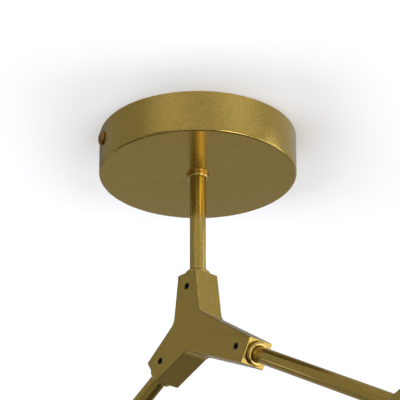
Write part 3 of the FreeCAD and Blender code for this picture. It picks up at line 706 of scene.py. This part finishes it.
def makeLamp(number, body, seat, s):
    # cup, tube and globe of one lamp; its grub screw is given back, to be joined with its neighbour's
    cupStart = shifted(seat, -s["bossTall"] - s["floorThick"])
    fitted(lampCup(number, cupStart, s), "lamp_cup_%d" % number, body)
    tubeStart = shifted(cupStart, -s["tubeFree"] - tubeSizes["inPort"])
    long = s["tubeFree"] + tubeSizes["inPort"] + tubeSizes["inBoss"]
    fitted(drawnTube("lampTube%d" % number, tubeStart, long, tubeSizes), "lamp_tube_%d" % number, body)
    rim = shifted(seat, s["gasketThick"] + s["rimGap"])
    fitted(glassGlobe(number, rim, s), "globe_%d" % number, "globe_%d_body" % number)
    return grubScrew("grub", shifted(cupScrewFrame(cupStart, s), s["screwFoot"]), s["screwAcross"],
                     s["screwLong"], s["screwKey"])


for side, numbers in (("right", (1, 2)), ("left", (3, 4))):
    screws = [makeLamp(number, side + "_branch", lampSeats[number], lampSizes) for number in numbers]
    fitted(joinedPiece(side + "CupGrubScrews", screws), side + "_cup_grub_screws", side + "_branch")
print("lamps made")


# Stage: a white ceiling that is clear from above, soft lights and the camera

ceilingSettings = {
    "reach": 40.0,
    "gap": 0.3 * mm,            # above the canopy's rim
    "farLight": 1.0,            # own light, none up to nearUpTo and all of it from farFrom
    "nearUpTo": 0.3,
    "farFrom": 1.3,
}


def makeCeiling():
    # matt white paint, self-lit far from the canopy so that it stays white behind the panels
    s = ceilingSettings
    points = np.array([(-1, -1, 0), (-1, 1, 0), (1, 1, 0), (1, -1, 0)], float) * s["reach"]
    points[:, 2] = s["gap"]
    ceiling = meshObject("studioCeiling", points, [(0, 1, 2, 3)])
    material = bpy.data.materials.new("ceilingPaint")
    material.use_nodes = True
    tree = material.node_tree
    tree.nodes.clear()
    matt = addNode(tree, "ShaderNodeBsdfDiffuse", inputs={"Color": linear("FFFFFF")})
    where = addNode(tree, "ShaderNodeTexCoord").outputs["Object"]
    far = addNode(tree, "ShaderNodeVectorMath", {"operation": "LENGTH"}, {}, {0: where})
    strength = addNode(tree, "ShaderNodeMapRange", {"interpolation_type": "SMOOTHSTEP"},
                       {"From Min": s["nearUpTo"], "From Max": s["farFrom"], "To Max": s["farLight"]},
                       {"Value": far.outputs["Value"]})
    glow = addNode(tree, "ShaderNodeEmission", {}, {"Color": linear("FFFFFF")},
                   {"Strength": strength.outputs["Result"]})
    lit = addNode(tree, "ShaderNodeAddShader", links={0: matt.outputs[0], 1: glow.outputs[0]})
    side = addNode(tree, "ShaderNodeNewGeometry")
    clear = addNode(tree, "ShaderNodeBsdfTransparent")
    choice = addNode(tree, "ShaderNodeMixShader", links={0: side.outputs["Backfacing"], 1: lit.outputs[0],
                                                         2: clear.outputs[0]})
    addNode(tree, "ShaderNodeOutputMaterial", links={"Surface": choice.outputs[0]})
    ceiling.data.materials.append(material)
    ceiling.visible_glossy = False
    ceiling.visible_shadow = False


def softLight(light, aim):
    # a panel's power is its brightness times pi times its area
    place = Vector(towards(light["bearing"], light["elevation"], light["distance"], aim))
    panel = bpy.data.lights.new(light["name"], "AREA")
    panel.shape = "RECTANGLE"
    panel.size, panel.size_y = light["wide"], light["tall"]
    panel.energy = light["glow"] * math.pi * light["wide"] * light["tall"]
    panel.color = linear(washColour if light["wash"] else "FFFFFF")[:3]
    lamp = bpy.data.objects.new(light["name"], panel)
    lamp.location = place
    lamp.rotation_euler = (Vector(aim) - place).to_track_quat("-Z", "Y").to_euler()
    lamp.visible_glossy = not light["wash"]
    lamp.visible_diffuse = light["wash"]
    scene.collection.objects.link(lamp)


def towards(bearing, elevation, distance, centre):
    # point seen from the centre at that bearing (0 is -Y, turning towards +X) and elevation
    b, e = math.radians(bearing), math.radians(elevation)
    outward = (math.sin(b) * math.cos(e), -math.cos(b) * math.cos(e), math.sin(e))
    return tuple(start + distance * part for start, part in zip(centre, outward))


viewing = {"bearing": -17.0, "elevation": -26.14, "distance": 1.5246, "aim": (0.0013, -0.0004, -0.0440),
           "lens": 217.97, "sensor": 36.0, "farthest": 100.0}

# The studio's walls as the metal mirrors them: an even base and soft bright areas, each fading out between
# two angles from its middle
wallSettings = {"colour": "F7F6F4", "base": 0.06, "seen": 0.74}
wallGlows = [
    {"bearing": 88.0, "elevation": 34.0, "full": 20.0, "gone": 80.0, "glow": 0.50},
    {"bearing": -10.0, "elevation": 32.0, "full": 15.0, "gone": 70.0, "glow": 0.50},
    {"bearing": -107.0, "elevation": 24.0, "full": 15.0, "gone": 80.0, "glow": 0.27},
    {"bearing": 163.0, "elevation": -18.0, "full": 15.0, "gone": 52.0, "glow": 0.32},
]
# Panels: glow is the brightness that the metal mirrors. A wash lights the matt surfaces and stays out of
# reflections, the others show in the metal alone. All of them face lightsAim.
lightsAim = (0.0, 0.0, -0.15)
washColour = "FAFBFF"
lightSettings = [
    {"name": "rightLow", "bearing": 74.0, "elevation": -25.0, "distance": 2.2, "wide": 2.0, "tall": 1.2,
     "glow": 1.45, "wash": False},
    {"name": "frontRightLow", "bearing": 31.0, "elevation": -29.0, "distance": 2.2, "wide": 1.4, "tall": 1.1,
     "glow": 3.2, "wash": False},
    {"name": "frontLow", "bearing": -18.0, "elevation": -26.0, "distance": 2.2, "wide": 2.6, "tall": 0.9,
     "glow": 0.62, "wash": False},
    {"name": "leftUnder", "bearing": -61.0, "elevation": -53.0, "distance": 2.2, "wide": 2.2, "tall": 1.6,
     "glow": 0.18, "wash": False},
    {"name": "rightTall", "bearing": 76.0, "elevation": 12.0, "distance": 2.2, "wide": 0.8, "tall": 1.1,
     "glow": 1.0, "wash": False},
    {"name": "underWash", "bearing": -17.0, "elevation": -80.0, "distance": 2.4, "wide": 4.0, "tall": 4.0,
     "glow": 0.06, "wash": True},
]
for corner, glow in ((28.0, 4.4), (118.0, 3.5), (208.0, 4.6), (298.0, 5.1)):
    lightSettings.append({"name": "cornerWash%d" % corner, "bearing": corner, "elevation": -18.0,
                          "distance": 2.4, "wide": 3.0, "tall": 1.2, "glow": glow, "wash": True})


def makeWalls():
    # brightness = base + sum of glow * smoothstep of the cosine between the ray and each area's middle;
    # seen directly, as from above the ceiling, the walls are an even pale grey
    world = bpy.data.worlds.new("studioWalls")
    scene.world = world
    world.use_nodes = True
    tree = world.node_tree
    tree.nodes.clear()
    ray = addNode(tree, "ShaderNodeTexCoord").outputs["Generated"]
    total = addNode(tree, "ShaderNodeValue")
    total.outputs[0].default_value = wallSettings["base"]
    level = total.outputs[0]
    for area in wallGlows:
        middle = towards(area["bearing"], area["elevation"], 1.0, (0, 0, 0))
        cosine = addNode(tree, "ShaderNodeVectorMath", {"operation": "DOT_PRODUCT"}, {1: middle}, {0: ray})
        fade = addNode(tree, "ShaderNodeMapRange", {"interpolation_type": "SMOOTHSTEP"},
                       {"From Min": math.cos(math.radians(area["gone"])),
                        "From Max": math.cos(math.radians(area["full"])), "To Max": area["glow"]},
                       {"Value": cosine.outputs["Value"]})
        level = addNode(tree, "ShaderNodeMath", {"operation": "ADD"}, {},
                        {0: level, 1: fade.outputs["Result"]}).outputs[0]
    air = addNode(tree, "ShaderNodeBackground", {}, {"Color": linear(wallSettings["colour"])},
                  {"Strength": level})
    backdrop = addNode(tree, "ShaderNodeBackground", {},
                       {"Color": linear("FFFFFF"), "Strength": wallSettings["seen"]})
    direct = addNode(tree, "ShaderNodeLightPath").outputs["Is Camera Ray"]
    choice = addNode(tree, "ShaderNodeMixShader", {}, {},
                     {0: direct, 1: air.outputs[0], 2: backdrop.outputs[0]})
    addNode(tree, "ShaderNodeOutputWorld", links={"Surface": choice.outputs[0]})


def makeStudio():
    makeWalls()
    for light in lightSettings:
        softLight(light, lightsAim)
    camera = bpy.data.cameras.new("viewer")
    camera.lens, camera.sensor_width = viewing["lens"], viewing["sensor"]
    camera.clip_end = viewing["farthest"]
    eye = bpy.data.objects.new("viewer", camera)
    eye.location = towards(viewing["bearing"], viewing["elevation"], viewing["distance"], viewing["aim"])
    eye.rotation_euler = (Vector(viewing["aim"]) - eye.location).to_track_quat("-Z", "Y").to_euler()
    scene.collection.objects.link(eye)
    scene.camera = eye
    scene.view_settings.view_transform = "Standard"


makeCeiling()
makeStudio()
print("studio made")
